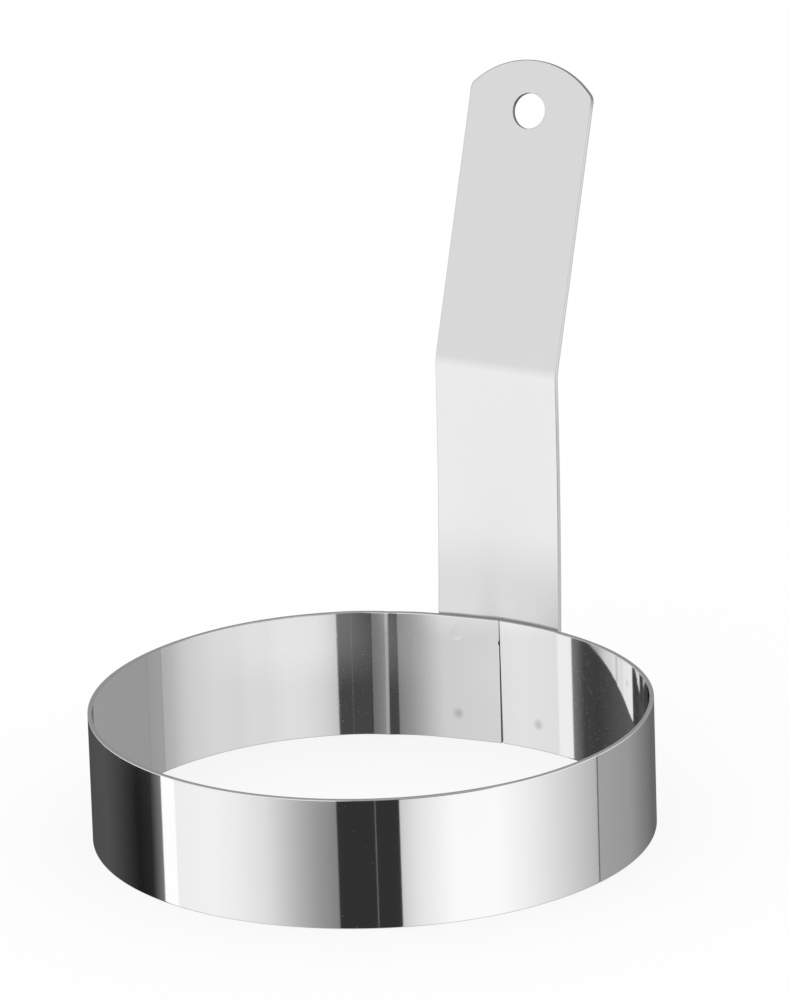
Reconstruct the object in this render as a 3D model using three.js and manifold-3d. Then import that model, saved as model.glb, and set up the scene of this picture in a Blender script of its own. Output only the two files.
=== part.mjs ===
// Egg ring: a rolled band with a bent strip handle, spot welded over the band's butt seam.
// Millimetres, +Z up, handle on the +Y side, X = 0 is the mirror plane.

import * as THREE from 'three';
import { mergeVertices } from 'three/addons/utils/BufferGeometryUtils.js';
import Module from 'manifold-3d';

// Ring band
const RING_INNER_DIAMETER = 100;
const RING_HEIGHT = 24;
const BAND_THICKNESS = 0.8;
const BAND_EDGE_BREAK = 0.1; // chamfer left by deburring the band's edges
const SEAT_DRAW_IN = 1.9; // how far the ring is drawn in behind the handle
const SEAT_HALF_ANGLE = 63; // degrees each way over which the draw-in fades out
const SEAM_GAP_TOP = 0.3; // the butt seam opens towards the base
const SEAM_GAP_BASE = 0.5;

// Handle strip
const HANDLE_WIDTH = 25;
const HANDLE_THICKNESS = 1;
const HANDLE_FOOT_HEIGHT = 1; // lower end of the strip above the base
const HANDLE_RISE = 48.4; // rim to the point where the two straight runs would cross
const HANDLE_BEND_RADIUS = 8; // on the face towards the ring
const HANDLE_LEAN = 19; // degrees outwards from upright, above the bend
const HANDLE_UPPER_LENGTH = 56.5; // bend to the top of the rounded end
const HANDLE_TOP_CROWN = 5.6; // rise of the rounded end over its corners
const HANDLE_CORNER_RADIUS = 2;
const HOLE_DIAMETER = 6.5;
const HOLE_FROM_TOP = 9.3;

// Lap joint and its spot welds
const LAP_GAP = 0.2;
const WELD_DIAMETER = 2.4;
const WELD_PENETRATION = 0.4; // share of each sheet's thickness that the fused spot reaches
const WELD_CLEARANCE = 0.1;
const WELD_FROM_EDGE = 4.35; // weld centres from the rim and from the base
const WELD_FROM_SIDE = 4.25; // weld centres from the handle's side edges
const MARK_DIAMETER = 2.8; // round print of the welding electrode
const MARK_DEPTH = 0.1;

// Smoothness of the round forms
const RING_SEGMENTS = 144;
const HANDLE_COLUMNS = 12;
const FADE_ROWS = 6;
const BEND_ROWS = 6;
const HOLE_SEGMENTS = 40;
const WELD_SEGMENTS = 24;
const MARK_RINGS = 3;
const ARC_SEGMENTS = 16;
const CUT_MARGIN = 2; // how far a cutting solid runs past what it cuts

const wasm = await Module();
wasm.setup();

// Solids for joining and cutting

function toSolid(geometry) {
  geometry.deleteAttribute('normal');
  geometry.deleteAttribute('uv');
  const welded = mergeVertices(geometry);
  return new wasm.Manifold(new wasm.Mesh({
    numProp: 3,
    vertProperties: new Float32Array(welded.attributes.position.array),
    triVerts: new Uint32Array(welded.index.array),
  }));
}

function toGeometry(solid) {
  const mesh = solid.getMesh();
  const geometry = new THREE.BufferGeometry();
  geometry.setAttribute('position', new THREE.BufferAttribute(mesh.vertProperties, 3));
  geometry.setIndex(new THREE.BufferAttribute(mesh.triVerts, 1));
  geometry.computeVertexNormals();
  return geometry;
}

// Plan of the ring: a circle, drawn in smoothly towards the handle

const ringInnerRadius = RING_INNER_DIAMETER / 2;
const ringOuterRadius = ringInnerRadius + BAND_THICKNESS;
const seatHalfAngle = THREE.MathUtils.degToRad(SEAT_HALF_ANGLE);

function drawIn(azimuth) {
  if (Math.abs(azimuth) > seatHalfAngle) return 0;
  return SEAT_DRAW_IN * (1 + Math.cos(Math.PI * azimuth / seatHalfAngle)) / 2;
}

// Radius of curvature of the band's outer face at the seam, from the plan's formula
const seatDistance = ringOuterRadius - SEAT_DRAW_IN;
const seatFlattening = SEAT_DRAW_IN * (Math.PI / seatHalfAngle) ** 2 / 2;
const seatRadius = seatDistance ** 2 / (seatDistance - seatFlattening);

// Handle: the flat strip is carried onto its bent and bowed form, point by point

const lean = THREE.MathUtils.degToRad(HANDLE_LEAN);
const handleFace = seatDistance + LAP_GAP; // Y of the strip's inner face on the mirror plane
const handleBow = 1 / (seatRadius + LAP_GAP); // curvature across the strip where it laps the band
const bendTangent = HANDLE_BEND_RADIUS * Math.tan(lean / 2);
const bendStart = RING_HEIGHT + HANDLE_RISE - bendTangent;
const bendLength = HANDLE_BEND_RADIUS * lean;
const plateLength = HANDLE_UPPER_LENGTH - bendTangent;

// Centre of the bend, in Y and Z
const bendCentre = { y: handleFace + HANDLE_BEND_RADIUS, z: bendStart };

// The flat plate above the bend: its local X runs across, Y up the plate, Z out of its inner face
const plate = new THREE.Object3D();
plate.position.set(
  0,
  bendCentre.y - HANDLE_BEND_RADIUS * Math.cos(lean),
  bendCentre.z + HANDLE_BEND_RADIUS * Math.sin(lean),
);
plate.rotation.x = Math.PI / 2 - lean;
plate.updateMatrix();

// The bow is full along the lap and fades out between the rim and the bend
function bowAt(height) {
  const fade = (bendStart - height) / (bendStart - RING_HEIGHT);
  return handleBow * THREE.MathUtils.clamp(fade, 0, 1);
}

// across: from the mirror plane; height: of the upright run; depth: from the inner face outwards
function uprightPoint(across, height, depth) {
  const bow = bowAt(height);
  if (bow === 0) return new THREE.Vector3(across, handleFace + depth, height);
  const turn = bow * across;
  const radius = 1 / bow + depth;
  return new THREE.Vector3(
    radius * Math.sin(turn),
    handleFace - 1 / bow + radius * Math.cos(turn),
    height,
  );
}

function bendPoint(across, angle, depth) {
  const radius = HANDLE_BEND_RADIUS - depth;
  return new THREE.Vector3(
    across,
    bendCentre.y - radius * Math.cos(angle),
    bendCentre.z + radius * Math.sin(angle),
  );
}

function platePoint(across, up, depth) {
  return new THREE.Vector3(across, up, -depth).applyMatrix4(plate.matrix);
}

// Each row of the strip is a function of its place across and its depth
function handleRows() {
  const rows = [(across, depth) => uprightPoint(across, HANDLE_FOOT_HEIGHT, depth)];
  for (let i = 0; i <= FADE_ROWS; i++) {
    const height = THREE.MathUtils.lerp(RING_HEIGHT, bendStart, i / FADE_ROWS);
    rows.push((across, depth) => uprightPoint(across, height, depth));
  }
  for (let i = 1; i <= BEND_ROWS; i++) {
    const angle = lean * i / BEND_ROWS;
    rows.push((across, depth) => bendPoint(across, angle, depth));
  }
  rows.push((across, depth) => platePoint(across, plateLength, depth));
  return rows;
}

function bentStrip() {
  const rows = handleRows();
  const last = rows.length - 1;
  const strip = new THREE.BoxGeometry(
    HANDLE_WIDTH, last, HANDLE_THICKNESS, HANDLE_COLUMNS, last, 1,
  );
  const position = strip.attributes.position;
  for (let i = 0; i < position.count; i++) {
    const row = rows[Math.round(position.getY(i) + last / 2)];
    const point = row(position.getX(i), HANDLE_THICKNESS / 2 - position.getZ(i));
    position.setXYZ(i, point.x, point.y, point.z);
  }
  return toSolid(strip);
}

// Everything above the rounded end, as a block to cut away from the plate
function topTrim() {
  const half = HANDLE_WIDTH / 2;
  const topRadius = (half ** 2 + HANDLE_TOP_CROWN ** 2) / (2 * HANDLE_TOP_CROWN);
  const topCentre = plateLength - topRadius;
  const cornerX = half - HANDLE_CORNER_RADIUS;
  const cornerY = topCentre + Math.sqrt((topRadius - HANDLE_CORNER_RADIUS) ** 2 - cornerX ** 2);
  const turn = Math.atan2(cornerY - topCentre, cornerX);
  const outline = new THREE.Shape();
  outline.moveTo(-half - CUT_MARGIN, cornerY);
  outline.lineTo(-half, cornerY);
  outline.absarc(-cornerX, cornerY, HANDLE_CORNER_RADIUS, Math.PI, Math.PI - turn, true);
  outline.absarc(0, topCentre, topRadius, Math.PI - turn, turn, true);
  outline.absarc(cornerX, cornerY, HANDLE_CORNER_RADIUS, turn, 0, true);
  outline.lineTo(half + CUT_MARGIN, cornerY);
  outline.lineTo(half + CUT_MARGIN, plateLength + CUT_MARGIN);
  outline.lineTo(-half - CUT_MARGIN, plateLength + CUT_MARGIN);
  outline.closePath();
  const block = new THREE.ExtrudeGeometry(outline, {
    depth: HANDLE_THICKNESS + 2 * CUT_MARGIN,
    bevelEnabled: false,
    curveSegments: ARC_SEGMENTS,
  });
  block.translate(0, 0, -HANDLE_THICKNESS - CUT_MARGIN);
  block.applyMatrix4(plate.matrix);
  return toSolid(block);
}

function hangingHole() {
  const drill = new THREE.CylinderGeometry(
    HOLE_DIAMETER / 2, HOLE_DIAMETER / 2, HANDLE_THICKNESS + 2 * CUT_MARGIN, HOLE_SEGMENTS,
  );
  drill.rotateX(Math.PI / 2);
  drill.translate(0, plateLength - HOLE_FROM_TOP, -HANDLE_THICKNESS / 2);
  drill.applyMatrix4(plate.matrix);
  return toSolid(drill);
}

// Spot welds: local Y points out of the ring, with 0 on the handle's inner face

const weldReachIn = LAP_GAP + WELD_PENETRATION * BAND_THICKNESS;
const weldReachOut = WELD_PENETRATION * HANDLE_THICKNESS;

function weldPlaces() {
  const places = [];
  for (const [level, height] of [['upper', RING_HEIGHT - WELD_FROM_EDGE], ['lower', WELD_FROM_EDGE]]) {
    for (const [side, sign] of [['left', -1], ['right', 1]]) {
      const across = sign * (HANDLE_WIDTH / 2 - WELD_FROM_SIDE);
      const frame = new THREE.Object3D();
      frame.position.copy(uprightPoint(across, height, 0));
      frame.rotation.z = -handleBow * across;
      frame.updateMatrix();
      places.push({ name: `spot_weld_${level}_${side}`, frame });
    }
  }
  return places;
}

function weldGeometry(clearance) {
  const radius = WELD_DIAMETER / 2 + clearance;
  const length = weldReachIn + weldReachOut + 2 * clearance;
  const spot = new THREE.CylinderGeometry(radius, radius, length, WELD_SEGMENTS);
  spot.translate(0, (weldReachOut - weldReachIn) / 2, 0);
  return spot;
}

function weldPocket(place) {
  const pocket = weldGeometry(WELD_CLEARANCE);
  pocket.applyMatrix4(place.frame.matrix);
  return toSolid(pocket);
}

// A shallow dish pressed into a face at the given depth, from the side that outward points to
function electrodeMark(place, faceY, outward) {
  const radius = MARK_DIAMETER / 2;
  const profile = [new THREE.Vector2(0, -MARK_DEPTH)];
  for (let i = 1; i <= MARK_RINGS; i++) {
    const share = i / MARK_RINGS;
    profile.push(new THREE.Vector2(radius * share, -MARK_DEPTH * (1 - share ** 2)));
  }
  profile.push(new THREE.Vector2(radius, CUT_MARGIN));
  profile.push(new THREE.Vector2(0, CUT_MARGIN));
  const dish = new THREE.LatheGeometry(profile, WELD_SEGMENTS);
  if (outward < 0) dish.rotateX(Math.PI);
  dish.translate(0, faceY, 0);
  dish.applyMatrix4(place.frame.matrix);
  return toSolid(dish);
}

// Ring band: its section is turned round the axis, drawn in at the handle, and slit at the seam

function closedBand() {
  const inner = ringInnerRadius;
  const outer = ringOuterRadius;
  const edge = BAND_EDGE_BREAK;
  const section = [
    [inner + edge, 0], [outer - edge, 0], [outer, edge], [outer, RING_HEIGHT - edge],
    [outer - edge, RING_HEIGHT], [inner + edge, RING_HEIGHT], [inner, RING_HEIGHT - edge],
    [inner, edge], [inner + edge, 0],
  ].map(([radius, height]) => new THREE.Vector2(radius, height));
  const band = new THREE.LatheGeometry(section, RING_SEGMENTS);
  band.rotateX(Math.PI / 2);
  const position = band.attributes.position;
  for (let i = 0; i < position.count; i++) {
    const x = position.getX(i);
    const y = position.getY(i);
    const radius = Math.hypot(x, y);
    const share = (radius - drawIn(Math.atan2(x, y))) / radius;
    position.setXY(i, x * share, y * share);
  }
  return toSolid(band);
}

function seamCut() {
  const spread = (SEAM_GAP_BASE - SEAM_GAP_TOP) / RING_HEIGHT * CUT_MARGIN / 2;
  const halfBase = SEAM_GAP_BASE / 2 + spread;
  const halfTop = SEAM_GAP_TOP / 2 - spread;
  const outline = new THREE.Shape();
  outline.moveTo(-halfBase, -CUT_MARGIN);
  outline.lineTo(halfBase, -CUT_MARGIN);
  outline.lineTo(halfTop, RING_HEIGHT + CUT_MARGIN);
  outline.lineTo(-halfTop, RING_HEIGHT + CUT_MARGIN);
  outline.closePath();
  const wedge = new THREE.ExtrudeGeometry(outline, {
    depth: BAND_THICKNESS + 2 * CUT_MARGIN,
    bevelEnabled: false,
  });
  wedge.rotateX(Math.PI / 2);
  wedge.translate(0, seatDistance + CUT_MARGIN, 0);
  return toSolid(wedge);
}

// Assembly

const polishedSteel = new THREE.MeshStandardMaterial({
  color: 0xd8d9da, metalness: 1, roughness: 0.08,
});
const satinSteel = new THREE.MeshStandardMaterial({
  color: 0xdcdddd, metalness: 1, roughness: 0.3,
});
const weldSteel = new THREE.MeshStandardMaterial({
  color: 0xb4b5b6, metalness: 1, roughness: 0.45,
});

const eggRing = new THREE.Group();

function addPiece(name, geometry, material) {
  const mesh = new THREE.Mesh(geometry, material);
  mesh.name = name;
  eggRing.add(mesh);
  return mesh;
}

let band = closedBand().subtract(seamCut());
let strip = bentStrip().subtract(topTrim()).subtract(hangingHole());

for (const place of weldPlaces()) {
  const pocket = weldPocket(place);
  band = band.subtract(pocket).subtract(electrodeMark(place, -LAP_GAP - BAND_THICKNESS, -1));
  strip = strip.subtract(pocket).subtract(electrodeMark(place, HANDLE_THICKNESS, 1));
  const weld = addPiece(place.name, weldGeometry(0), weldSteel);
  weld.position.copy(place.frame.position);
  weld.rotation.copy(place.frame.rotation);
}

addPiece('ring_band', toGeometry(band), polishedSteel);
addPiece('handle', toGeometry(strip), satinSteel);

// The origin lies in the middle of the outline, on the surface that the ring stands on
const bounds = new THREE.Box3().setFromObject(eggRing);
const middle = bounds.getCenter(new THREE.Vector3());
eggRing.position.set(-middle.x, -middle.y, -bounds.min.z);

export default eggRing;
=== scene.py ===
"""Looks of the egg ring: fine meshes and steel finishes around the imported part, in metres, +Z up."""

import math

import bpy
from mathutils import Matrix, Vector
from mathutils.geometry import delaunay_2d_cdt


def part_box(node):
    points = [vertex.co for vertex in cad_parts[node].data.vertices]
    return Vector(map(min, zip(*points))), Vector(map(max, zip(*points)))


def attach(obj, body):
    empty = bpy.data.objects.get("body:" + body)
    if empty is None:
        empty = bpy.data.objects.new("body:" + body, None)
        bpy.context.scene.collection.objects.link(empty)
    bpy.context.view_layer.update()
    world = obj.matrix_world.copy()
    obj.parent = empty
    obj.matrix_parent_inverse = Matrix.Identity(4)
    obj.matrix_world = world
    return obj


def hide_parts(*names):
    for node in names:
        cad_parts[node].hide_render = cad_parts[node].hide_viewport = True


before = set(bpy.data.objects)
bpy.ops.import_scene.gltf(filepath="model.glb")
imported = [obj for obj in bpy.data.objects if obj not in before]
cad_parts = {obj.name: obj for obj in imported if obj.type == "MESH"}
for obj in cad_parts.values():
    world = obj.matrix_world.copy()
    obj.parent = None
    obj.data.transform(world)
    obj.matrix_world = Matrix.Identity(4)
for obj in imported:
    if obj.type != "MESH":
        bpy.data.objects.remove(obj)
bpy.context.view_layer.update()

MM = 0.001

# Ring band, as in the part's source
ring_low, ring_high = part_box("ring_band")
RING_OUTER_RADIUS = (ring_high.x - ring_low.x) / 2
RING_HEIGHT = ring_high.z
RING_CENTRE = Vector((0, ring_low.y + RING_OUTER_RADIUS, 0))
BAND_THICKNESS = 0.8 * MM
BAND_EDGE_RADIUS = 0.12 * MM
SEAT_DRAW_IN = 1.9 * MM  # how far the round is drawn in where the handle sits
SEAT_HALF_ANGLE = math.radians(63)

# Seam, a little closer than in the part's source, with a small shear nick in its left edge
SEAM_GAP_TOP = 0.14 * MM
SEAM_GAP_BASE = 0.46 * MM
SEAM_OFFSET = -0.12 * MM  # along the strip, of its middle
NICK_DEPTH = 0.25 * MM
NICK_HEIGHT = 19.6 * MM
NICK_REACH = 0.35 * MM

# What rolling leaves in the strip's left end: nearly flat at the seam, then a slight crease and a
# soft step
FLAT_END = 12 * MM
FLAT_END_BLEND = 10 * MM  # stretch over which the flat end turns into the round
FLATNESS = 0.75  # share of the rounding that the flat end lacks
CREASE_FROM_SEAM = 23.05 * MM
CREASE_TILT = 0.35 * MM  # how much nearer to the seam it is at the bottom than at the top
CREASE_DEPTH = 0.49 * MM
CREASE_LEFT_IN = 0.37 * MM  # how much of its depth the strip keeps from the crease to the seam
CREASE_NEAR = 2.3 * MM  # how far the rest fades out towards the seam
CREASE_FAR = 3.2 * MM  # and the whole away from it
CREASE_SHADE_START = (0.45 * MM, 0.7 * MM)  # distances past the crease between which a stretch of painted shade begins
CREASE_SHADE_END = (3.2 * MM, 3.5 * MM)  # and ends
END_RETURN = 0.22 * MM  # how far the strip comes back out between the crease and the seam
STEP_RISE = 0.142 * MM  # how far the strip lies further out between the soft step and the seam
STEP_STRETCH = (29 * MM, 37 * MM)  # distances from the seam between which the step lies

# Handle strip, as in the part's source
HANDLE_WIDTH = 25 * MM
HANDLE_THICKNESS = 1 * MM
HANDLE_FOOT_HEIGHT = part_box("handle")[0].z
HANDLE_RISE = 48.4 * MM
HANDLE_BEND_RADIUS = 8 * MM
HANDLE_LEAN = math.radians(19)
HANDLE_UPPER_LENGTH = 56.5 * MM
HANDLE_TOP_CROWN = 5.6 * MM
HANDLE_CORNER_RADIUS = 2 * MM
HANDLE_EDGE_RADIUS = 0.15 * MM
HOLE_DIAMETER = 6.5 * MM
HOLE_FROM_TOP = 9.3 * MM
HOLE_EDGE_RADIUS = 0.2 * MM
LAP_GAP = 0.2 * MM

# How the left half of the lap follows the band's flat end
SETTLE_DEPTH = 0.45 * MM
SETTLE_WIDTH = 6 * MM

# Electrode prints of the spot welds inside the ring: a faint dish, and a dull core in the lower ones
PRINT_FROM_SEAM = 8.7 * MM
PRINT_OFFSET = -0.4 * MM  # along the strip, of the middle between the prints from the seam
PRINT_LOW = 5 * MM
PRINT_HIGH = 20.6 * MM
PRINT_DIAMETER = 2.8 * MM
PRINT_DEPTH = 0.008 * MM
PRINT_FLOOR = 0.45  # share of the radius that is flat
CORE_SHARE = 1.1  # share of the radius over which the dull core fades

# Fineness of the meshes
COLUMN_FINE = 0.25 * MM  # round the ring, near the seam
COLUMN_COARSE = 0.8 * MM
FINE_REACH = 30 * MM
ROW_FINE = 0.25 * MM  # up the band's inside, at the prints
ROWS_BETWEEN_PRINTS = 6
OUTSIDE_ROWS = 8
EDGE_STEPS = 4  # round each edge
OUTLINE_STEP = 1.0 * MM  # round the handle
END_ARC_STEPS = 40
CORNER_STEPS = 8
HOLE_STEPS = 64
EDGE_SUPPORT = 0.15 * MM  # width of the flat row beside the handle's rounded edges
FACE_COLUMNS = 20
LOWER_ROWS = 50
BEND_ROWS = 10
ROUND_STEPS = 96  # round the stage's wall and shade

# Azimuths from the handle between which the front left of the band stays out of the reflections
FRONT_LEFT_START = math.radians(-206)
FRONT_LEFT_END = math.radians(-90)

# Numbers of the finishes on the band and on the handle
INSIDE, OUTSIDE, RIM, SEAM_END = range(4)
FACE, SIDE, HOLE = range(3)

# Colours and roughness of the finishes; where there are two, the roughness runs between them
INSIDE_COLOUR = (0.94, 0.94, 0.945)
OUTSIDE_COLOUR = (0.96, 0.96, 0.965)
PRINT_CORE_AND_CREASE_SHADE_COLOUR = (0.66, 0.66, 0.665)  # of the painted shade in the stretch past the crease, and of the cores of the prints
RIM_COLOUR = (0.62, 0.62, 0.625)
SHADED_COLOUR = (0.25, 0.25, 0.255)  # of the strip's ends at the seam and the wall of the hole
# painted shade: the handle's face is a little darker at its lower end
SATIN_LOWER_SHADE_COLOUR = (0.83, 0.83, 0.833)
SATIN_COLOUR = (0.953, 0.955, 0.957)
# painted light and shade on the handle's cut sides: darker low down, lighter above the ring and dark
# round the end
SIDE_LOWER_SHADE_COLOUR = (0.64, 0.64, 0.645)
SIDE_COLOUR = (0.8, 0.8, 0.805)
SIDE_END_SHADE_COLOUR = (0.38, 0.38, 0.385)
WELD_DARK_COLOUR = (0.45, 0.45, 0.46)
WELD_COLOUR = (0.7, 0.7, 0.7)
INSIDE_ROUGHNESS = (0.05, 0.32)
OUTSIDE_ROUGHNESS = (0.045, 0.32)
RIM_ROUGHNESS = (0.3, 0.5)
SHADED_ROUGHNESS = (0.3, 0.45)
SATIN_ROUGHNESS = (0.19, 0.23)
SATIN_ANISOTROPY = 0.8
SIDE_ROUGHNESS = (0.15, 0.25)
WELD_ROUGHNESS = (0.4, 0.6)

# Levels of a noise between which the roughness runs: over most of it, or only at its peaks, as specks
NOISE_MIDDLE = (0.3, 0.7)
INSIDE_SPECKS = (0.77, 0.83)
OUTSIDE_SPECKS = (0.86, 0.92)

# Distances from the handle's foot between which the painted shade on its face and its sides gives way to
# a lighter tone, and its sides darken again with painted shade round the end
FACE_SHADE_TURN = (28 * MM, 42 * MM)
SIDE_SHADE_TURN = (58 * MM, 74 * MM)
SIDE_END_SHADE_TURN = (119 * MM, 123 * MM)

# Camera, fitted to the outline of the object in the photograph
IMAGE_HEIGHT = 1000
FOCAL_LENGTH_PIXELS = 8990
SENSOR_WIDTH = 36.0
CAMERA_AZIMUTH = math.radians(30.15)
CAMERA_ELEVATION = math.radians(20.49)
CAMERA_DISTANCE = 1.6203
CAMERA_YAW = math.radians(0.203)
CAMERA_DOWN = math.radians(18.413)
CAMERA_ROLL = math.radians(-1.88)

# Floor
FLOOR_SIZE = 8.0
FLOOR_GREY = 0.9
FLOOR_LIFT = 0.78  # share of plain white that the camera sees over the floor's own light and shadow

# Room light on the floor, and its grey in reflections above the studio wall
ROOM_LIGHT = 1.1
ROOM_GREY = 0.6

# Studio wall round the object: azimuth in degrees from the camera's side, positive to its right, and
# the brightness of the panel that stands there
STUDIO_RADIUS = 1.2
STUDIO_HEIGHT = 1.5
STUDIO = [
    (-178, 0.07), (-138, 0.08), (-126, 0.055), (-110, 0.012), (-101, 0.022), (-94, 0.2), (-88, 0.88),
    (-68.6, 0.92), (-57, 0.87), (-44, 0.74), (-31.3, 0.46), (-23.5, 0.325), (-15.5, 0.23), (7, 0.6),
    (9.8, 0.62), (16.6, 0.8), (31.3, 1.0), (49, 1.0), (63, 0.88), (82.4, 0.66), (100.9, 0.46),
    (102, 0.36), (125, 0.318), (139, 0.224), (156, 0.138),
]
PLAIN_WALL = [  # above the panels
    (-180, 0.2), (-130, 0.9), (-14, 0.9), (-8, 0.2), (40, 0.2), (52, 0.95), (115, 0.95), (150, 0.2),
]
OVERHEAD = [(-180, 0.4), (-60, 0.735), (60, 0.735), (180, 0.4)]  # above the plain wall
PLAIN_WALL_HEIGHTS = (-0.395, -0.38)  # between which the panels turn into the plain wall
OVERHEAD_HEIGHTS = (-0.2, 0.36)  # and that into the light overhead

# Boards with sharp edges in front of the wall: name, azimuths in degrees between which each stands,
# and brightness
BOARDS = [
    ("dark_board", -14.9, 9.85, 0.031),
    ("bright_board", -94.2, -86.6, 1.04),
    ("dark_line", 101.1, 101.8, 0.06),
    ("light_slit", 0.15, 0.45, 0.2),
]
BOARD_TOP = -0.3
BOARD_STEP = 2  # degrees
BOARD_NEARNESS = 0.02  # share of the wall's radius that the first one stands before it
BOARD_SPACING = 0.002  # and each further one before the last

# Card along the left inside of the ring: azimuth from the handle in degrees, grey, and how much it
# covers
CARD = [
    (-165, 0.328, 1), (-84.1, 0.328, 1), (-84, 0.29, 1), (-83.9, 0.29, 1), (-83.8, 0.335, 1),
    (-79.6, 0.365, 1), (-79.5, 0.33, 1), (-79.3, 0.33, 1), (-79.2, 0.435, 0.9), (-76, 0.5, 0.8),
    (-74.3, 0.585, 0.6), (-71, 0.745, 0.35), (-64.8, 0.71, 0.35), (-59.1, 0.49, 0.35),
    (-52.4, 0.46, 0.35), (-47.2, 0.62, 0.35), (-44.7, 0.71, 0.35), (-40.9, 0.7, 0),
]
CARD_STEP = 2  # degrees
CARD_CLEARANCE = 0.3 * MM

# Shaded floor inside the ring: how much of the studio shows through it, and a veil of light that it adds
SHADE_CLEARNESS = 0.84
SHADE_END = (-36 * MM, -16 * MM)  # distances from the ring's axis between which it begins at the left
SHADE_END_TURN = CAMERA_AZIMUTH + math.radians(25)  # direction in which they are measured, from +X
SHADE_HEIGHT = 0.02 * MM
VEIL_LEVELS = (0.14, 0.035)  # in its middle and far from it
VEIL_PLACE = (20 * MM, -12 * MM)  # its middle, to the right of the ring's axis and away from the camera
VEIL_REACH = (16 * MM, 45 * MM)  # distances between which it fades


# Helpers

def steps(start, end, count):
    """count + 1 values from start to end."""
    return [start + (end - start) * i / count for i in range(count + 1)]


def smooth_rise(value, start, end):
    """0 up to start, 1 from end on, and an even curve between them."""
    share = min(max((value - start) / (end - start), 0.0), 1.0)
    return (1 - math.cos(math.pi * share)) / 2


def from_axis(radius, azimuth, height):
    """A point by its distance from the ring's axis and its azimuth from the handle."""
    return RING_CENTRE + Vector((radius * math.sin(azimuth), radius * math.cos(azimuth), height))


def seen_from_camera(right, away, height):
    """A point by its place to the right of the ring's axis and away from the camera."""
    return RING_CENTRE + Matrix.Rotation(CAMERA_AZIMUTH, 3, "Z") @ Vector((right, away, height))


def new_object(name, data):
    thing = bpy.data.objects.new(name, data)
    bpy.context.scene.collection.objects.link(thing)
    return thing


def put(name, vertices, faces, uv, finishes, numbers):
    """A smooth mesh with the plane coordinates of each vertex and the number of each face's finish."""
    mesh = bpy.data.meshes.new(name)
    mesh.from_pydata(vertices, [], faces)
    layer = mesh.uv_layers.new(name="plane")
    for loop in mesh.loops:
        layer.data[loop.index].uv = uv[loop.vertex_index]
    mesh.shade_smooth()
    for finish in finishes:
        mesh.materials.append(finish)
    mesh.polygons.foreach_set("material_index", numbers)
    mesh.update()
    return new_object(name, mesh)


# Plan of the ring

seat_distance = RING_OUTER_RADIUS - SEAT_DRAW_IN
seat_flattening = SEAT_DRAW_IN * (math.pi / SEAT_HALF_ANGLE) ** 2 / 2
seat_radius = seat_distance ** 2 / (seat_distance - seat_flattening)
inner_radius = RING_OUTER_RADIUS - BAND_THICKNESS
half_round = math.pi * RING_OUTER_RADIUS


def draw_in(azimuth):
    if abs(azimuth) > SEAT_HALF_ANGLE:
        return 0.0
    return SEAT_DRAW_IN * (1 + math.cos(math.pi * azimuth / SEAT_HALF_ANGLE)) / 2


def flat_end(arc):
    """How far a flat strip end lies inside the round, at a distance along the strip from the seam."""
    first = FLAT_END
    last = FLAT_END + FLAT_END_BLEND
    tilt = first * last / (seat_radius * (first + last))
    if arc >= last:
        return 0.0
    if arc <= first:
        return tilt * arc - arc ** 2 / (2 * seat_radius)
    slope = first / seat_radius - tilt
    share = (arc - first) / FLAT_END_BLEND
    return slope * FLAT_END_BLEND * ((1 - share) / 2 - math.sin(math.pi * share) / (2 * math.pi))


def past_crease(arc, height):
    return arc - CREASE_FROM_SEAM + CREASE_TILT * (height / RING_HEIGHT - 0.5)


def crease(arc, height):
    past = past_crease(arc, height)
    if past > 0:
        return CREASE_DEPTH * math.exp(-past / CREASE_FAR)
    return CREASE_LEFT_IN + (CREASE_DEPTH - CREASE_LEFT_IN) * math.exp(past / CREASE_NEAR)


def end_rise(arc):
    """How far the soft step and the return to the seam take the strip's end out again."""
    back = END_RETURN * max(1 - arc / CREASE_FROM_SEAM, 0)
    return back + STEP_RISE * (1 - smooth_rise(arc, *STEP_STRETCH))


def plan_radius(radius, azimuth, height):
    """The radius that a circle has after the seat and the faults of the strip's left end."""
    drawn = radius - draw_in(azimuth)
    if azimuth >= 0:
        return drawn
    arc = -azimuth * RING_OUTER_RADIUS
    return drawn - FLATNESS * flat_end(arc) - crease(arc, height) + end_rise(arc)


# Prints, their cores and the painted shade past the crease on the band's inside, at a distance along the
# strip from the seam and a height

def print_share(along, height, print_height):
    """Distance from the nearest print at a height, as a share of its radius."""
    across = abs(along - PRINT_OFFSET) - PRINT_FROM_SEAM
    return math.hypot(across, height - print_height) / (PRINT_DIAMETER / 2)


def print_depth(along, height):
    share = min(print_share(along, height, PRINT_LOW), print_share(along, height, PRINT_HIGH))
    return PRINT_DEPTH * (1 - smooth_rise(share, PRINT_FLOOR, 1))


# Darkening at a place, the larger of two: the core of a lower print, and painted shade in a stretch just
# past the crease.
def print_core_and_crease_shade(along, height):
    core = 1 - smooth_rise(print_share(along, height, PRINT_LOW), 0, CORE_SHARE)
    past = past_crease(-along, height)
    # Painted shade in a stretch just past the crease.
    crease_shade = smooth_rise(past, *CREASE_SHADE_START) * (1 - smooth_rise(past, *CREASE_SHADE_END))
    return max(core, crease_shade)


# Ring band mesh: columns round the ring, rows round the strip's section

def band_columns(start, end):
    """Distances along the strip from the seam, between two places on the same side of it."""
    side = -1 if start < 0 else 1
    near, far = sorted((abs(start), abs(end)))
    split = max(near, min(far, FINE_REACH))
    columns = [near]
    if split > near:
        columns += steps(near, split, round((split - near) / COLUMN_FINE))[1:]
    if far > split:
        columns += steps(split, far, round((far - split) / COLUMN_COARSE))[1:]
    return sorted(side * column for column in columns)


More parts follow.
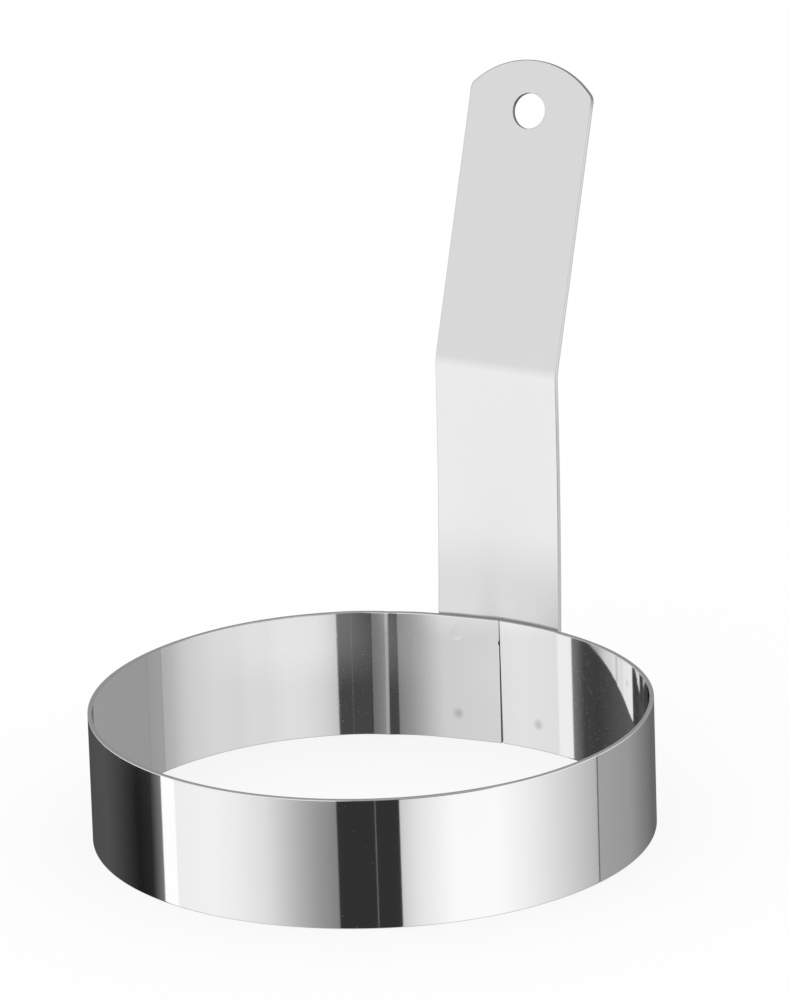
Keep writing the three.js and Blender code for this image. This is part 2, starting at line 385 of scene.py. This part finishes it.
def band_heights():
    """Heights of the inner wall's rows, fine where the prints are."""
    edge = BAND_EDGE_RADIUS
    reach = PRINT_DIAMETER / 2 + ROW_FINE
    count = round(2 * reach / ROW_FINE)
    heights = [edge, 2 * edge]
    heights += steps(PRINT_LOW - reach, PRINT_LOW + reach, count)
    heights += steps(PRINT_LOW + reach, PRINT_HIGH - reach, ROWS_BETWEEN_PRINTS)[1:-1]
    heights += steps(PRINT_HIGH - reach, PRINT_HIGH + reach, count)
    heights += [RING_HEIGHT - 2 * edge, RING_HEIGHT - edge]
    return heights


def section_corner(depth, height, start):
    """Points of a quarter round about a centre, from a direction on."""
    for i in range(1, EDGE_STEPS + 1):
        turn = start - math.pi / 2 * i / EDGE_STEPS
        x = depth + BAND_EDGE_RADIUS * math.cos(turn)
        y = height + BAND_EDGE_RADIUS * math.sin(turn)
        yield x, y, False


def band_section():
    """Loop of (depth from the inner face, height, on the inner wall) round the strip's section."""
    edge = BAND_EDGE_RADIUS
    outer = BAND_THICKNESS
    loop = [(0.0, height, True) for height in band_heights()]
    loop += section_corner(edge, RING_HEIGHT - edge, math.pi)
    loop += section_corner(outer - edge, RING_HEIGHT - edge, math.pi / 2)
    loop += [(outer, height, False) for height in steps(RING_HEIGHT - 2 * edge, 2 * edge, OUTSIDE_ROWS)]
    loop.append((outer, edge, False))
    loop += section_corner(outer - edge, edge, 0)
    loop += section_corner(edge, edge, -math.pi / 2)
    return loop[:-1]


def section_finish(here, there):
    """Number of the finish between two points of the section."""
    if here[0] == there[0] == 0:
        return INSIDE
    if here[0] == there[0] == BAND_THICKNESS:
        return OUTSIDE
    return RIM


def strip_end(side, height):
    """Place of the strip's end on one side of the seam."""
    half = (SEAM_GAP_BASE + (SEAM_GAP_TOP - SEAM_GAP_BASE) * height / RING_HEIGHT) / 2
    if side > 0:
        return SEAM_OFFSET + half
    return SEAM_OFFSET - half - NICK_DEPTH * math.exp(-((height - NICK_HEIGHT) / NICK_REACH) ** 2)


def band_vertices(columns, side, section):
    """Place, plane coordinates and darkening of each vertex, from print cores and painted shade past the
    crease, column by column.
    """
    for arc in columns:
        for depth, height, inside in section:
            along = arc + strip_end(side, height) * (1 - abs(arc) / half_round)
            nearest = along + 2 * half_round if along < -half_round else along
            azimuth = nearest / RING_OUTER_RADIUS
            radius = plan_radius(inner_radius + depth, azimuth, height)
            if inside:
                radius += print_depth(nearest, height)
            yield from_axis(radius, azimuth, height), (along, height), print_core_and_crease_shade(nearest, height)


def band_part(name, stretches, finishes):
    """The strip over some stretches, each given by its start and end along the strip from the seam."""
    section = band_section()
    count = len(section)
    points = []
    faces = []
    numbers = []
    for start, end in stretches:
        base = len(points)
        columns = band_columns(start, end)
        points += band_vertices(columns, -1 if start < 0 else 1, section)
        for i in range(len(columns) - 1):
            here = base + i * count
            there = here + count
            for j in range(count):
                k = (j + 1) % count
                faces.append((here + j, here + k, there + k, there + j))
                numbers.append(section_finish(section[j], section[k]))
        if start == 0:
            faces.append(tuple(reversed(range(base, base + count))))
            numbers.append(SEAM_END)
        if end == 0:
            faces.append(tuple(range(len(points) - count, len(points))))
            numbers.append(SEAM_END)
    vertices, uv, core_and_shade = zip(*points)
    piece = put(name, vertices, faces, uv, finishes, numbers)
    piece.data.attributes.new("print_core_and_crease_shade", "FLOAT", "POINT").data.foreach_set("value", core_and_shade)
    sharpen_seam(piece.data)
    return piece


def sharpen_seam(mesh):
    sharp = set()
    for polygon in mesh.polygons:
        if polygon.material_index == SEAM_END:
            sharp.update(polygon.edge_keys)
    for edge in mesh.edges:
        edge.use_edge_sharp = edge.key in sharp


def ring_band(finishes):
    """The band in two lengths, because the one at the front left stays out of the reflections."""
    front = FRONT_LEFT_START * RING_OUTER_RADIUS
    side = FRONT_LEFT_END * RING_OUTER_RADIUS
    main = band_part("ring_band_main", [(side, 0), (0, front + 2 * half_round)], finishes)
    front_left = band_part("ring_band_front_left", [(front, side)], finishes)
    front_left.visible_glossy = False
    return main, front_left


# Handle: the flat strip's points are carried onto its bent and bowed form

handle_face = seat_distance + LAP_GAP
handle_bow = 1 / (seat_radius + LAP_GAP)
least_bow = 1e-6  # stands for a flat strip
bend_tangent = HANDLE_BEND_RADIUS * math.tan(HANDLE_LEAN / 2)
bend_start = RING_HEIGHT + HANDLE_RISE - bend_tangent
bend_length = HANDLE_BEND_RADIUS * HANDLE_LEAN
lower_length = bend_start - HANDLE_FOOT_HEIGHT
strip_length = lower_length + bend_length + HANDLE_UPPER_LENGTH - bend_tangent


def strip_point(across, along, depth):
    """across from the middle, along from the foot, depth outwards from the face towards the ring."""
    if along <= lower_length:
        return lower_point(across, HANDLE_FOOT_HEIGHT + along, depth)
    turn = min((along - lower_length) / HANDLE_BEND_RADIUS, HANDLE_LEAN)
    beyond = max(along - lower_length - bend_length, 0.0)
    radius = HANDLE_BEND_RADIUS - depth
    y = handle_face + HANDLE_BEND_RADIUS - radius * math.cos(turn) + beyond * math.sin(turn)
    z = bend_start + radius * math.sin(turn) + beyond * math.cos(turn)
    return RING_CENTRE + Vector((across, y, z))


def lower_point(across, height, depth):
    """On the upright run, which is bowed and settled at the ring and straightens up to the bend."""
    fade = min((bend_start - height) / (bend_start - RING_HEIGHT), 1.0) ** 2
    bow = max(handle_bow * fade, least_bow)
    turn = bow * across
    sink = 2 * math.sin(turn / 2) ** 2 / bow
    settled = SETTLE_DEPTH * smooth_rise(-across, 0, SETTLE_WIDTH) * fade
    x = (1 / bow + depth) * math.sin(turn)
    y = handle_face - sink - settled + depth * math.cos(turn)
    return RING_CENTRE + Vector((x, y, height))


def arc_points(centre, radius, start, end, count):
    for turn in steps(start, end, count):
        yield centre[0] + radius * math.cos(turn), centre[1] + radius * math.sin(turn)


def handle_outline(inset):
    """Outline of the flat strip, anticlockwise, drawn in by inset."""
    half = HANDLE_WIDTH / 2
    top_radius = (half ** 2 + HANDLE_TOP_CROWN ** 2) / (2 * HANDLE_TOP_CROWN)
    top_centre = strip_length - top_radius
    corner_x = half - HANDLE_CORNER_RADIUS
    corner_y = top_centre + math.sqrt((top_radius - HANDLE_CORNER_RADIUS) ** 2 - corner_x ** 2)
    foot_y = HANDLE_CORNER_RADIUS
    turn = math.atan2(corner_y - top_centre, corner_x)
    corner = HANDLE_CORNER_RADIUS - inset
    rows = steps(foot_y, corner_y, round((corner_y - foot_y) / OUTLINE_STEP))[1:-1]
    across = steps(-corner_x, corner_x, round(2 * corner_x / OUTLINE_STEP))[1:-1]
    end_arc = arc_points((0, top_centre), top_radius - inset, turn, math.pi - turn, END_ARC_STEPS)
    points = [(x, inset) for x in across]
    points += arc_points((corner_x, foot_y), corner, -math.pi / 2, 0, CORNER_STEPS)
    points += [(half - inset, y) for y in rows]
    points += arc_points((corner_x, corner_y), corner, 0, turn, CORNER_STEPS)
    points += list(end_arc)[1:-1]
    points += arc_points((-corner_x, corner_y), corner, math.pi - turn, math.pi, CORNER_STEPS)
    points += [(-half + inset, y) for y in reversed(rows)]
    points += arc_points((-corner_x, foot_y), corner, math.pi, 3 * math.pi / 2, CORNER_STEPS)
    return points


def hole_outline(inset):
    """Edge of the hanging hole, clockwise, drawn out by inset."""
    centre = (0, strip_length - HOLE_FROM_TOP)
    return list(arc_points(centre, HOLE_DIAMETER / 2 + inset, 2 * math.pi, 0, HOLE_STEPS))[:-1]


def edge_profile(radius):
    """(inset, depth) from the face towards the ring, round the edge, to the back face."""
    profile = [(radius + EDGE_SUPPORT, 0.0)]
    for i in range(EDGE_STEPS + 1):
        turn = math.pi / 2 * i / EDGE_STEPS
        profile.append((radius * (1 - math.sin(turn)), radius * (1 - math.cos(turn))))
    back = [(inset, HANDLE_THICKNESS - depth) for inset, depth in reversed(profile)]
    return profile + back


def skirt(outline, radius, first):
    """The rounded edge along an outline, with vertex numbers from first on.

    Gives its points (across, along, depth), the vertex numbers of its loops and the faces between them.
    """
    points = []
    loops = []
    for inset, depth in edge_profile(radius):
        loop = outline(inset)
        start = first + len(points)
        loops.append(range(start, start + len(loop)))
        points += [(x, y, depth) for x, y in loop]
    rows = []
    for upper, lower in zip(loops, loops[1:]):
        count = len(upper)
        rows.append([
            (upper[i], lower[i], lower[(i + 1) % count], upper[(i + 1) % count]) for i in range(count)
        ])
    return points, loops, rows


def interior_grid():
    """Points of the strip's faces below the flat plate, where the form is bowed and bent."""
    half = HANDLE_WIDTH / 2
    columns = steps(-half, half, FACE_COLUMNS)[1:-1]
    rows = steps(0, lower_length, LOWER_ROWS)[1:]
    rows += steps(lower_length, lower_length + bend_length, BEND_ROWS)[1:]
    return [(x, y) for y in rows for x in columns]


def fill(outer, hole, inside, flat):
    """Triangles between two loops of vertices, through the vertices inside."""
    numbers = [*outer, *hole, *inside]
    place = {number: i for i, number in enumerate(numbers)}
    edges = []
    for loop in (outer, hole):
        for i in range(len(loop)):
            edges.append((place[loop[i]], place[loop[(i + 1) % len(loop)]]))
    points = [Vector(flat[number][:2]) / MM for number in numbers]
    within_edges = 1  # kind of result: triangles inside the edges
    nearness = 1e-5
    result = delaunay_2d_cdt(points, edges, [], within_edges, nearness)
    triangles, origins = result[2:4]
    hole_centre = Vector((0, strip_length - HOLE_FROM_TOP)) / MM
    for triangle in triangles:
        corners = [origins[i][0] for i in triangle]
        a, b, c = (points[i] for i in corners)
        if ((a + b + c) / 3 - hole_centre).length < HOLE_DIAMETER / 2 / MM:
            continue
        if (b - a).cross(c - a) < 0:
            corners.reverse()
        yield tuple(numbers[i] for i in corners)


def handle(finishes):
    """The strip: rounded edges along its outline and its hole, and two faces between them."""
    flat = []  # (across, along, depth) of each vertex
    faces = []
    numbers = []
    edges = []
    for outline, radius, first_row, number in (
        (handle_outline, HANDLE_EDGE_RADIUS, 1, SIDE),
        (hole_outline, HOLE_EDGE_RADIUS, EDGE_STEPS - 1, HOLE),
    ):
        points, loops, rows = skirt(outline, radius, len(flat))
        flat += points
        edges.append(loops)
        for row, quads in enumerate(rows):
            faces += quads
            on_edge = first_row <= row < len(rows) - 1
            numbers += [number if on_edge else FACE] * len(quads)
    for end, depth in ((0, 0.0), (-1, HANDLE_THICKNESS)):
        first = len(flat)
        flat += [(x, y, depth) for x, y in interior_grid()]
        outer, hole = (loops[end] for loops in edges)
        for triangle in fill(outer, hole, range(first, len(flat)), flat):
            faces.append(triangle if end == 0 else triangle[::-1])
            numbers.append(FACE)
    vertices = [strip_point(*point) for point in flat]
    uv = [point[:2] for point in flat]
    return put("handle_fine", vertices, faces, uv, finishes, numbers)


# Nodes

def add(tree, kind, inputs=None, **settings):
    """A node with some settings, whose inputs are values or other nodes' outputs."""
    node = tree.nodes.new(kind)
    for key, value in settings.items():
        setattr(node, key, value)
    for key, value in (inputs or {}).items():
        if isinstance(value, bpy.types.NodeSocket):
            tree.links.new(value, node.inputs[key])
        else:
            node.inputs[key].default_value = value
    return node


def map_range(tree, value, source, target, curve="LINEAR"):
    """Carries a value from one range onto another, and holds it beyond the ends."""
    limits = zip(("From Min", "From Max", "To Min", "To Max"), (*source, *target))
    node = add(tree, "ShaderNodeMapRange", {"Value": value, **dict(limits)}, interpolation_type=curve)
    return node.outputs["Result"]


def mix_colours(tree, share, first, second):
    mix = add(tree, "ShaderNodeMix", {"Factor": share, "A": first, "B": second}, data_type="RGBA")
    return mix.outputs["Result"]


def mix_shaders(tree, share, first, second):
    return add(tree, "ShaderNodeMixShader", {"Fac": share, 1: first.outputs[0], 2: second.outputs[0]})


def stretched_noise(tree, scale, stretch, detail):
    """Noise over the piece's plane coordinates, stretched along one of them."""
    plane = add(tree, "ShaderNodeUVMap", uv_map="plane")
    mapping = add(tree, "ShaderNodeMapping", {"Vector": plane.outputs["UV"], "Scale": stretch})
    inputs = {"Vector": mapping.outputs["Vector"], "Scale": scale, "Detail": detail}
    return add(tree, "ShaderNodeTexNoise", inputs).outputs["Fac"]


def grey(level):
    return level, level, level, 1


# Steel finishes

def steel(name, colour):
    """Plain metal, which a finish adds its nodes to."""
    material = bpy.data.materials.new(name)
    material.use_nodes = True
    tree = material.node_tree
    shader = tree.nodes["Principled BSDF"]
    shader.inputs["Base Color"].default_value = (*colour, 1)
    shader.inputs["Metallic"].default_value = 1
    return material, tree, shader


def roughen(tree, shader, noise, levels, roughness):
    tree.links.new(map_range(tree, noise, levels, roughness), shader.inputs["Roughness"])


def bump(tree, shader, noise, strength, distance):
    inputs = {"Height": noise, "Strength": strength, "Distance": distance}
    tree.links.new(add(tree, "ShaderNodeBump", inputs).outputs["Normal"], shader.inputs["Normal"])


def tint(material, share, colour):
    """Turns the colour that a finish has so far into another."""
    tree = material.node_tree
    target = tree.nodes["Principled BSDF"].inputs["Base Color"]
    so_far = target.links[0].from_socket if target.is_linked else target.default_value
    tree.links.new(mix_colours(tree, share, so_far, (*colour, 1)), target)


def tint_upwards(material, stretch, colour):
    """Turns a finish's colour into another over a stretch of the handle from its foot."""
    tree = material.node_tree
    plane = add(tree, "ShaderNodeUVMap", uv_map="plane")
    split = add(tree, "ShaderNodeSeparateXYZ", {"Vector": plane.outputs["UV"]})
    tint(material, map_range(tree, split.outputs["Y"], stretch, (0, 1), "SMOOTHSTEP"), colour)


def polished_steel(name, colour, speck_levels, roughness):
    """Mirror finish with a fine grain and duller specks."""
    material, tree, shader = steel(name, colour)
    specks = stretched_noise(tree, scale=6000, stretch=(1, 0.6, 1), detail=0)
    roughen(tree, shader, specks, speck_levels, roughness)
    grain = stretched_noise(tree, scale=2500, stretch=(1, 0.6, 1), detail=3)
    bump(tree, shader, grain, strength=0.02, distance=0.02 * MM)
    return material


def polished_inside():
    """Polished, and darker where the mesh says so: at the cores of the lower prints, and with painted
    shade past the crease.
    """
    material = polished_steel("polished_steel_inside", INSIDE_COLOUR, INSIDE_SPECKS, INSIDE_ROUGHNESS)
    core_and_shade = add(material.node_tree, "ShaderNodeAttribute", attribute_name="print_core_and_crease_shade")
    tint(material, core_and_shade.outputs["Fac"], PRINT_CORE_AND_CREASE_SHADE_COLOUR)
    return material


def cut_edge(name, colour, roughness):
    """A sheared and deburred edge."""
    material, tree, shader = steel(name, colour)
    shear = stretched_noise(tree, scale=4000, stretch=(0.3, 1, 1), detail=3)
    roughen(tree, shader, shear, NOISE_MIDDLE, roughness)
    bump(tree, shader, shear, strength=0.1, distance=0.02 * MM)
    return material


def handle_sides():
    """Cut edges with painted light and shade: darker low down, brighter above the ring and dark round
    the end.
    """
    material = cut_edge("handle_edge", SIDE_LOWER_SHADE_COLOUR, SIDE_ROUGHNESS)
    tint_upwards(material, SIDE_SHADE_TURN, SIDE_COLOUR)
    tint_upwards(material, SIDE_END_SHADE_TURN, SIDE_END_SHADE_COLOUR)
    return material


def satin_steel():
    """Brushed along the strip, with painted shade that makes the lower end a little darker."""
    material, tree, shader = steel("satin_steel", SATIN_LOWER_SHADE_COLOUR)
    tint_upwards(material, FACE_SHADE_TURN, SATIN_COLOUR)
    shader.inputs["Anisotropic"].default_value = SATIN_ANISOTROPY
    tangent = add(tree, "ShaderNodeTangent", direction_type="UV_MAP", uv_map="plane")
    tree.links.new(tangent.outputs["Tangent"], shader.inputs["Tangent"])
    brushing = stretched_noise(tree, scale=3000, stretch=(1, 0.02, 1), detail=3)
    roughen(tree, shader, brushing, NOISE_MIDDLE, SATIN_ROUGHNESS)
    bump(tree, shader, brushing, strength=0.02, distance=0.01 * MM)
    return material


def weld_steel():
    """Fused metal, mottled from dark to light."""
    material, tree, shader = steel("weld_steel", WELD_DARK_COLOUR)
    noise = add(tree, "ShaderNodeTexNoise", {"Scale": 1500}).outputs["Fac"]
    tint(material, noise, WELD_COLOUR)
    roughen(tree, shader, noise, NOISE_MIDDLE, WELD_ROUGHNESS)
    return material


# Stage: pale floor, and a studio that shows only in the steel

def stage_material(name):
    material = bpy.data.materials.new(name)
    material.use_nodes = True
    material.node_tree.nodes.clear()
    return material, material.node_tree


def stage_object(name, vertices, faces, material):
    mesh = bpy.data.meshes.new(name)
    mesh.from_pydata(vertices, [], faces)
    mesh.materials.append(material)
    return new_object(name, mesh)


def show_only_in_reflections(thing):
    thing.visible_camera = False
    thing.visible_diffuse = False
    thing.visible_transmission = False
    thing.visible_shadow = False


def make_floor():
    half = FLOOR_SIZE / 2
    corners = [(-half, -half, 0), (half, -half, 0), (half, half, 0), (-half, half, 0)]
    floor = stage_object("floor", corners, [(0, 1, 2, 3)], pale_floor())


def pale_floor():
    """Pale with the object's shadow for the camera, and clear for the steel, which sees the studio."""
    material, tree = stage_material("pale_floor")
    path = add(tree, "ShaderNodeLightPath").outputs
    diffuse = add(tree, "ShaderNodeBsdfDiffuse", {"Color": grey(FLOOR_GREY)})
    white = add(tree, "ShaderNodeEmission")
    clear = add(tree, "ShaderNodeBsdfTransparent")
    lift = add(tree, "ShaderNodeMath", {0: path["Is Camera Ray"], 1: FLOOR_LIFT}, operation="MULTIPLY")
    seen = mix_shaders(tree, lift.outputs[0], diffuse, white)
    shown = mix_shaders(tree, path["Is Glossy Ray"], seen, clear)
    add(tree, "ShaderNodeOutputMaterial", {"Surface": shown.outputs[0]})
    return material


def make_ring_shade():
    """The shaded floor inside the ring, as the ring's wall mirrors it."""
    turns = steps(0, 2 * math.pi, ROUND_STEPS)[:-1]
    outline = [from_axis(RING_OUTER_RADIUS, math.pi / 2 - turn, SHADE_HEIGHT) for turn in turns]
    shade = stage_object("ring_shade", outline, [tuple(range(len(outline)))], shade_material())
    show_only_in_reflections(shade)


def shade_material():
    """Lets part of the studio through, more of it at the left, and adds the veil."""
    material, tree = stage_material("ring_shade")
    place = add(tree, "ShaderNodeNewGeometry").outputs["Position"]
    inputs = {0: place, 1: seen_from_camera(*VEIL_PLACE, 0)}
    distance = add(tree, "ShaderNodeVectorMath", inputs, operation="DISTANCE").outputs["Value"]
    veil = map_range(tree, distance, VEIL_REACH, VEIL_LEVELS, "SMOOTHSTEP")
    light = add(tree, "ShaderNodeEmission", {"Strength": veil})
    inputs = {0: place, 1: RING_CENTRE}
    offset = add(tree, "ShaderNodeVectorMath", inputs, operation="SUBTRACT").outputs["Vector"]
    inputs = {0: offset, 1: (math.cos(SHADE_END_TURN), math.sin(SHADE_END_TURN), 0)}
    along = add(tree, "ShaderNodeVectorMath", inputs, operation="DOT_PRODUCT").outputs["Value"]
    clearness = map_range(tree, along, SHADE_END, (1, SHADE_CLEARNESS), "SMOOTHSTEP")
    clear = add(tree, "ShaderNodeBsdfTransparent", {"Color": clearness})
    both = add(tree, "ShaderNodeAddShader", {0: light.outputs[0], 1: clear.outputs[0]})
    add(tree, "ShaderNodeOutputMaterial", {"Surface": both.outputs[0]})
    return material


def make_studio_wall():
    """Round wall of light and dark panels."""
    count = ROUND_STEPS
    vertices = []
    for height in (-STUDIO_HEIGHT, STUDIO_HEIGHT):
        for turn in steps(0, 2 * math.pi, count)[:-1]:
            vertices.append(from_axis(STUDIO_RADIUS, math.pi / 2 - turn, height))
    faces = []
    for i in range(count):
        k = (i + 1) % count
        faces.append((k, i, count + i, count + k))
    wall = stage_object("studio_wall", vertices, faces, panel_light())
    show_only_in_reflections(wall)


def panel_light():
    """Brightness of the wall by azimuth from the camera's side and by height."""
    material, tree = stage_material("panel_light")
    place = add(tree, "ShaderNodeNewGeometry").outputs["Position"]
    inputs = {"Vector": place, "Center": RING_CENTRE, "Angle": -CAMERA_AZIMUTH}
    turned = add(tree, "ShaderNodeVectorRotate", inputs, rotation_type="Z_AXIS")
    inputs = {0: turned.outputs["Vector"], 1: RING_CENTRE}
    offset = add(tree, "ShaderNodeVectorMath", inputs, operation="SUBTRACT")
    split = add(tree, "ShaderNodeSeparateXYZ", {"Vector": offset.outputs["Vector"]}).outputs
    nearer = add(tree, "ShaderNodeMath", {0: split["Y"], 1: -1}, operation="MULTIPLY")
    azimuth = add(tree, "ShaderNodeMath", {0: split["X"], 1: nearer.outputs[0]}, operation="ARCTAN2")
    share = map_range(tree, azimuth.outputs[0], (-math.pi, math.pi), (0, 1))
    panels = azimuth_ramp(tree, share, STUDIO)
    plain = azimuth_ramp(tree, share, PLAIN_WALL)
    overhead = azimuth_ramp(tree, share, OVERHEAD)
    plain_share = map_range(tree, split["Z"], PLAIN_WALL_HEIGHTS, (0, 1))
    overhead_share = map_range(tree, split["Z"], OVERHEAD_HEIGHTS, (0, 1))
    lower = mix_colours(tree, plain_share, panels, plain)
    whole = mix_colours(tree, overhead_share, lower, overhead)
    light = add(tree, "ShaderNodeEmission", {"Color": whole})
    add(tree, "ShaderNodeOutputMaterial", {"Surface": light.outputs[0]})
    return material


def azimuth_ramp(tree, share, stops):
    """Grey at a share of the way round, from stops of azimuth in degrees and level."""
    ramp = add(tree, "ShaderNodeValToRGB", {"Fac": share})
    elements = ramp.color_ramp.elements
    for i, (azimuth, level) in enumerate(stops):
        position = (azimuth + 180) / 360
        element = elements[i] if i < 2 else elements.new(position)
        element.position = position
        element.color = grey(level)
    return ramp.outputs["Color"]


def make_boards():
    """Boards in front of the wall, each a little nearer than the one before."""
    for number, (name, start, end, level) in enumerate(BOARDS):
        radius = STUDIO_RADIUS * (1 - BOARD_NEARNESS - BOARD_SPACING * number)
        count = math.ceil((end - start) / BOARD_STEP)
        corners = []
        for turn in steps(math.radians(start), math.radians(end), count):
            right = radius * math.sin(turn)
            away = -radius * math.cos(turn)
            for height in (-STUDIO_HEIGHT, BOARD_TOP):
                corners.append(seen_from_camera(right, away, height))
        faces = [(i, i + 2, i + 3, i + 1) for i in range(0, len(corners) - 2, 2)]
        board = stage_object(name, corners, faces, plain_light(name, level))
        show_only_in_reflections(board)


def plain_light(name, level):
    material, tree = stage_material(name)
    light = add(tree, "ShaderNodeEmission", {"Strength": level})
    add(tree, "ShaderNodeOutputMaterial", {"Surface": light.outputs[0]})
    return material


def make_card():
    """Curved card along the inside of the ring, which only the steel behind it mirrors."""
    vertices = []
    greys = []
    covers = []
    for (start, level, cover), (end, next_level, next_cover) in zip(CARD, CARD[1:]):
        for share in steps(0, 1, math.ceil((end - start) / CARD_STEP)):
            turn = math.radians(start + (end - start) * share)
            for height in (-CARD_CLEARANCE, RING_HEIGHT + CARD_CLEARANCE):
                radius = plan_radius(inner_radius, turn, height) - CARD_CLEARANCE
                vertices.append(from_axis(radius, turn, height))
                greys.append(level + (next_level - level) * share)
                covers.append(cover + (next_cover - cover) * share)
    faces = [(i, i + 1, i + 3, i + 2) for i in range(0, len(vertices) - 2, 2)]
    card = stage_object("grey_card", vertices, faces, card_material())
    for name, values in (("grey", greys), ("cover", covers)):
        card.data.attributes.new(name, "FLOAT", "POINT").data.foreach_set("value", values)
    show_only_in_reflections(card)


def card_material():
    """Grey from the front, as far as the card covers, and clear from behind."""
    material, tree = stage_material("grey_card")
    level = add(tree, "ShaderNodeAttribute", attribute_name="grey").outputs["Fac"]
    cover = add(tree, "ShaderNodeAttribute", attribute_name="cover").outputs["Fac"]
    behind = add(tree, "ShaderNodeNewGeometry").outputs["Backfacing"]
    front = add(tree, "ShaderNodeMath", {0: cover, 1: behind}, operation="SUBTRACT", use_clamp=True)
    light = add(tree, "ShaderNodeEmission", {"Strength": level})
    clear = add(tree, "ShaderNodeBsdfTransparent")
    shown = mix_shaders(tree, front.outputs[0], clear, light)
    add(tree, "ShaderNodeOutputMaterial", {"Surface": shown.outputs[0]})
    return material


def make_world():
    """Room light on the floor, white for the camera and grey for the steel."""
    world = bpy.data.worlds.new("room")
    bpy.context.scene.world = world
    world.use_nodes = True
    tree = world.node_tree
    tree.nodes.clear()
    path = add(tree, "ShaderNodeLightPath").outputs
    lit = mix_colours(tree, path["Is Camera Ray"], grey(ROOM_LIGHT), grey(1))
    seen = mix_colours(tree, path["Is Glossy Ray"], lit, grey(ROOM_GREY))
    background = add(tree, "ShaderNodeBackground", {"Color": seen})
    add(tree, "ShaderNodeOutputWorld", {"Surface": background.outputs[0]})


def make_camera():
    data = bpy.data.cameras.new("camera")
    data.sensor_width = SENSOR_WIDTH
    data.lens = FOCAL_LENGTH_PIXELS / IMAGE_HEIGHT * SENSOR_WIDTH
    camera = new_object("camera", data)
    level = CAMERA_DISTANCE * math.cos(CAMERA_ELEVATION)
    height = CAMERA_DISTANCE * math.sin(CAMERA_ELEVATION)
    camera.matrix_world = (
        Matrix.Translation(seen_from_camera(0, -level, height))
        @ Matrix.Rotation(CAMERA_AZIMUTH - CAMERA_YAW, 4, "Z")
        @ Matrix.Rotation(math.pi / 2 - CAMERA_DOWN, 4, "X")
        @ Matrix.Rotation(CAMERA_ROLL, 4, "Z")
    )
    bpy.context.scene.camera = camera


# Assembly

make_camera()
make_floor()
make_ring_shade()
make_studio_wall()
make_boards()
make_card()
make_world()
bpy.context.scene.view_settings.view_transform = "Standard"

inside_finish = polished_inside()
outside_finish = polished_steel(
    "polished_steel_outside", OUTSIDE_COLOUR, OUTSIDE_SPECKS, OUTSIDE_ROUGHNESS)
rim_finish = cut_edge("cut_rim", RIM_COLOUR, RIM_ROUGHNESS)
shaded_finish = cut_edge("shaded_edge", SHADED_COLOUR, SHADED_ROUGHNESS)
for length in ring_band([inside_finish, outside_finish, rim_finish, shaded_finish]):
    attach(length, "root")
    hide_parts("ring_band")

strip = handle([satin_steel(), handle_sides(), shaded_finish])
strip.visible_glossy = False
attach(strip, "root")
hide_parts("handle")

weld_finish = weld_steel()
for name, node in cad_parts.items():
    if name.startswith("spot_weld"):
        node.data.materials.clear()
        node.data.materials.append(weld_finish)
